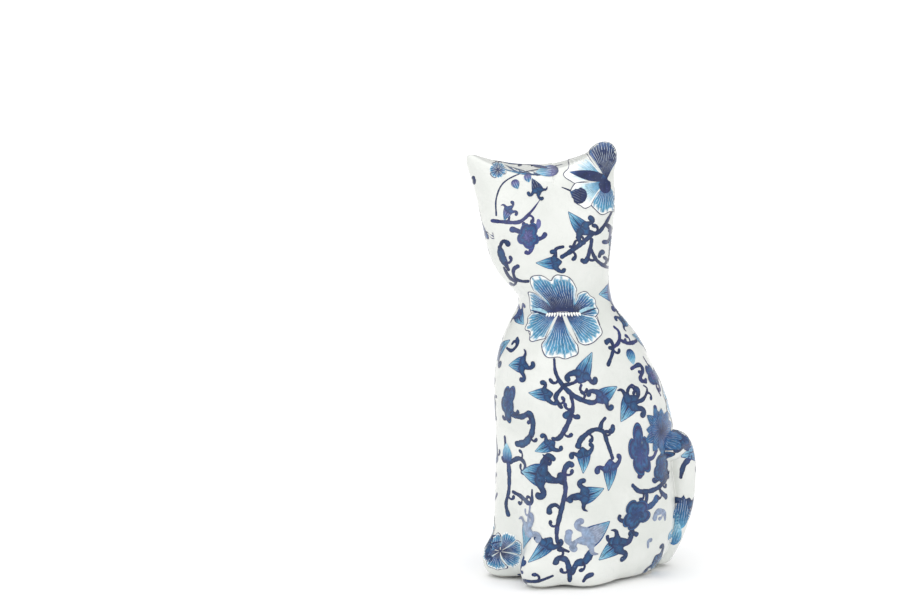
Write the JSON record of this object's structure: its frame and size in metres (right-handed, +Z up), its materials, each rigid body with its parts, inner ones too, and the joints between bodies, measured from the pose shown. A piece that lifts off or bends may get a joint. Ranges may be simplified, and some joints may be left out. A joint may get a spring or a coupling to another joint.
{
  "type": "cat figurine",
  "caption": "Tall sitting cat ornament with a long smooth body, turned head and pricked ears, in glazed ceramic with a printed blue floral pattern.",
  "frame": {"origin": "middle of the figurine's box, at the height of the surface it stands on", "axes": "+Z up, the chest faces -Y, the cat's left side is +X"},
  "size_m": [0.112, 0.1406, 0.3039],
  "materials": {
    "glazed_body": "glossy glaze over a blue printed floral pattern",
    "bare_clay": "unglazed, matt",
    "stopper": "soft translucent white",
    "felt": "short felt"
  },
  "bodies": {
    "root": {"body_shell": "glazed_body", "head_shell": "glazed_body", "tail": "glazed_body", "base_plate": "bare_clay", "vent_stopper": "stopper", "felt_pads": "felt"}
  },
  "joints": []
}
